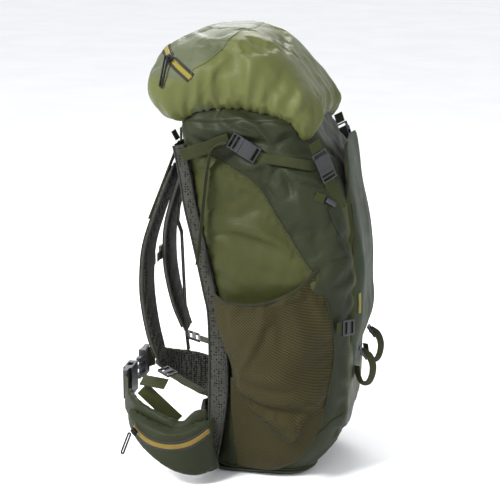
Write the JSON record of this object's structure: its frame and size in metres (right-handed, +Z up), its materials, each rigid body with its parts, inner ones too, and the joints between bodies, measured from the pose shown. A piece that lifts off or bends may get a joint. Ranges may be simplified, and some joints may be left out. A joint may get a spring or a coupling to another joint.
{
  "type": "hiking backpack",
  "caption": "Framed trekking backpack with a hinged lid pocket, side mesh pockets, front stretch pocket, padded harness and a hip belt.",
  "frame": {"origin": "middle of the base panel's resting face", "axes": "+Z up the pack, +X away from the wearer, +Y to the wearer's right"},
  "size_m": [0.4174, 0.3954, 0.72],
  "materials": {
    "shell_fabric": "coated ripstop nylon, soft sheen",
    "dark_fabric": "coated nylon, dark",
    "lid_fabric": "coated nylon, satin",
    "stretch_fabric": "stretch woven",
    "pocket_mesh": "fine diamond stretch mesh",
    "spacer_mesh": "open spacer mesh over foam",
    "pad_fabric": "woven over foam",
    "webbing": "ribbed webbing",
    "elastic_cord": "woven elastic cord",
    "plastic": "moulded acetal",
    "zip_yellow": "coil zip tape",
    "zip_metal": "painted zinc slider with cord pull",
    "spring_steel": "drawn rod"
  },
  "bodies": {
    "pack": {"main_bag": "shell_fabric", "bag_collar": "dark_fabric", "collar_drawcord": "elastic_cord", "base_panel": "dark_fabric", "front_pocket": "stretch_fabric", "frame_hoop": "spring_steel", "frame_crossbar": "spring_steel", "back_mesh": "spacer_mesh", "mesh_bindings": "spacer_mesh", "lumbar_pad": "spacer_mesh", "harness_yoke": "spacer_mesh", "haul_loop": "webbing", "back_length_strap": "webbing", "load_lifters": "webbing", "shoulder_webbings": "webbing", "shoulder_ladder_locks": "plastic", "sternum_webbing": "webbing", "sternum_sliders": "plastic", "sternum_buckle_female": "plastic", "webbing_tabs": "webbing", "strap_adjusters": "plastic", "tool_loops": "webbing", "pole_keeper_toggles": "plastic", "pole_keeper_cords": "elastic_cord", "lid_straps": "webbing", "lid_rear_straps": "webbing", "side_pocket_left": "pocket_mesh", "side_pocket_right": "pocket_mesh", "shoulder_strap_left": "spacer_mesh", "shoulder_strap_right": "spacer_mesh", "side_strap_left": "webbing", "side_strap_right": "webbing", "side_buckle_female_left": "plastic", "side_buckle_female_right": "plastic"},
    "lid": {"lid_shell": "lid_fabric", "lid_floor": "dark_fabric", "lid_hem_elastics": "elastic_cord", "lid_buckle_loops": "webbing", "lid_zip": "zip_yellow", "lid_buckle_female_left": "plastic", "lid_buckle_female_right": "plastic"},
    "lid_zip_slider": {"lid_zip_slider": "zip_metal"},
    "lid_buckle_male_left": {"lid_buckle_male_left": "plastic"},
    "lid_buckle_male_right": {"lid_buckle_male_right": "plastic"},
    "cord_lock": {"collar_cord_lock": "plastic"},
    "side_buckle_male_left": {"side_buckle_male_left": "plastic"},
    "side_buckle_male_right": {"side_buckle_male_right": "plastic"},
    "sternum_buckle_male": {"sternum_buckle_male": "plastic"},
    "hip_left": {"hip_fin_left": "pad_fabric", "hip_pocket_left": "pad_fabric", "hip_zip_left": "zip_yellow", "hip_webbing_left": "webbing", "hip_buckle_left": "plastic"},
    "hip_right": {"hip_fin_right": "pad_fabric", "hip_pocket_right": "pad_fabric", "hip_zip_right": "zip_yellow", "hip_webbing_right": "webbing", "hip_buckle_right": "plastic"},
    "hip_zip_slider_left": {"hip_zip_slider_left": "zip_metal"},
    "hip_zip_slider_right": {"hip_zip_slider_right": "zip_metal"}
  },
  "joints": [
    {"name": "lid_hinge", "type": "hinge", "parent": "pack", "child": "lid", "pos_m": [-0.14, 0, 0.562], "axis": [0, -1, 0], "range_deg": [0, 110]},
    {"name": "lid_zip", "type": "hinge", "parent": "lid", "child": "lid_zip_slider", "pos_m": [-0.09559, -0.07393, 0.64637], "axis": [-0.6136, -0.0737, -0.7862], "range_deg": [0, 45]},
    {"name": "lid_buckle_release_left", "type": "slide", "parent": "lid", "child": "lid_buckle_male_left", "axis": [0.3482, 0.2437, -0.9052], "range_m": [0, 0.02]},
    {"name": "lid_buckle_release_right", "type": "slide", "parent": "lid", "child": "lid_buckle_male_right", "axis": [0.3482, -0.2437, -0.9052], "range_m": [0, 0.02]},
    {"name": "cord_lock_slide", "type": "slide", "parent": "pack", "child": "cord_lock", "axis": [0.6968, 0, -0.7173], "range_m": [0, 0.008]},
    {"name": "side_buckle_release_left", "type": "slide", "parent": "pack", "child": "side_buckle_male_left", "axis": [-0.8603, 0, 0.5098], "range_m": [0, 0.02]},
    {"name": "side_buckle_release_right", "type": "slide", "parent": "pack", "child": "side_buckle_male_right", "axis": [-0.8603, 0, 0.5098], "range_m": [0, 0.02]},
    {"name": "sternum_buckle_release", "type": "slide", "parent": "pack", "child": "sternum_buckle_male", "axis": [0, 1, 0], "range_m": [0, 0.02]},
    {"name": "hip_belt_left", "type": "hinge", "parent": "pack", "child": "hip_left", "pos_m": [-0.062, -0.141, 0.07], "axis": [0, 0, 1], "range_deg": [0, 35]},
    {"name": "hip_belt_right", "type": "hinge", "parent": "pack", "child": "hip_right", "pos_m": [-0.062, 0.141, 0.07], "axis": [0, 0, -1], "range_deg": [0, 35]},
    {"name": "hip_zip_left", "type": "hinge", "parent": "hip_left", "child": "hip_zip_slider_left", "pos_m": [-0.12642, -0.13881, 0.11908], "axis": [-0.0194, -0.6576, 0.7531], "range_deg": [0, 60]},
    {"name": "hip_zip_right", "type": "hinge", "parent": "hip_right", "child": "hip_zip_slider_right", "pos_m": [-0.12642, 0.13881, 0.11908], "axis": [0.0194, -0.6576, -0.7531], "range_deg": [0, 60]}
  ]
}
